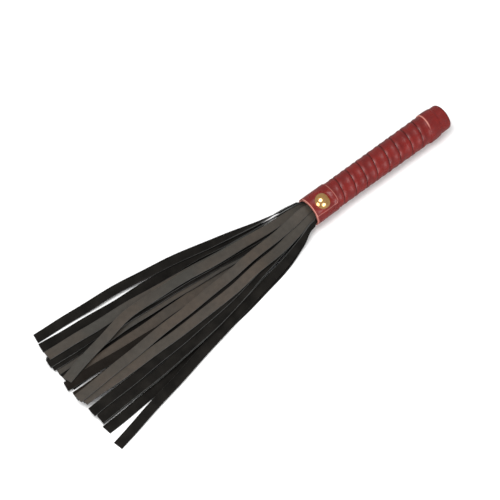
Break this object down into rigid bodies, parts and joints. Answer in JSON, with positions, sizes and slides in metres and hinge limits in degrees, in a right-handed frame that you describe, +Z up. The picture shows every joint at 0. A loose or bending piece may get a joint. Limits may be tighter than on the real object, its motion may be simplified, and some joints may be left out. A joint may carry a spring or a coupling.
{
  "type": "fly swatter",
  "caption": "Short leather-strip fly whisk: flat black leather strips fanned from a stud-closed red leather collar on a straight leather-wound wooden handle.",
  "frame": {"origin": "middle of the underside of the whole object, on the surface that it lies on", "axes": "+X along the handle towards the pommel, strips towards -X; +Z up from the surface; the stud leans towards -Y"},
  "size_m": [0.485, 0.1546, 0.0362],
  "materials": {
    "red_leather": "smooth waxed, semi-gloss",
    "strip_leather": "matt, fine grain",
    "brass": "polished",
    "steel": "plain",
    "turned_wood": "raw turned",
    "waxed_thread": "waxed"
  },
  "bodies": {
    "handle": {"handle_core": "turned_wood", "grip_wrap": "red_leather", "wrap_end_band": "red_leather", "pommel_cap": "red_leather", "header_roll": "strip_leather", "binding_thread": "waxed_thread", "header_tacks": "steel", "collar_band": "red_leather", "stud_cap": "brass", "stud_nail": "steel"},
    "back_falls": {"back_fall_1": "strip_leather", "back_fall_2": "strip_leather", "back_fall_3": "strip_leather"},
    "front_falls": {"front_fall_1": "strip_leather", "front_fall_2": "strip_leather"},
    "bed_falls": {"bed_fall_1": "strip_leather", "bed_fall_2": "strip_leather", "bed_fall_3": "strip_leather", "bed_fall_4": "strip_leather", "bed_fall_5": "strip_leather", "bed_fall_6": "strip_leather", "bed_fall_7": "strip_leather", "bed_fall_8": "strip_leather", "bed_fall_9": "strip_leather", "bed_fall_10": "strip_leather", "bed_fall_11": "strip_leather", "bed_fall_12": "strip_leather", "bed_fall_13": "strip_leather", "bed_fall_14": "strip_leather", "bed_fall_15": "strip_leather", "bed_fall_16": "strip_leather"},
    "top_falls": {"top_fall_1": "strip_leather", "top_fall_2": "strip_leather", "top_fall_3": "strip_leather"}
  },
  "joints": [
    {"name": "bed_lift", "type": "hinge", "parent": "handle", "child": "bed_falls", "pos_m": [0.0635, 0.00413, 0.0155], "axis": [0, 1, 0], "range_deg": [0, 25]},
    {"name": "top_lift", "type": "hinge", "parent": "handle", "child": "top_falls", "pos_m": [0.0635, 0.00413, 0.022], "axis": [0, 1, 0], "range_deg": [0, 50]},
    {"name": "back_swing", "type": "hinge", "parent": "handle", "child": "back_falls", "pos_m": [0.0635, 0.01313, 0.0155], "axis": [0, 0, 1], "range_deg": [-30, 0]},
    {"name": "front_swing", "type": "hinge", "parent": "handle", "child": "front_falls", "pos_m": [0.0635, -0.00487, 0.0155], "axis": [0, 0, 1], "range_deg": [0, 30]}
  ],
  "couplings": [
    {"joint": "top_lift", "follows": "bed_lift", "ratio": 2}
  ]
}
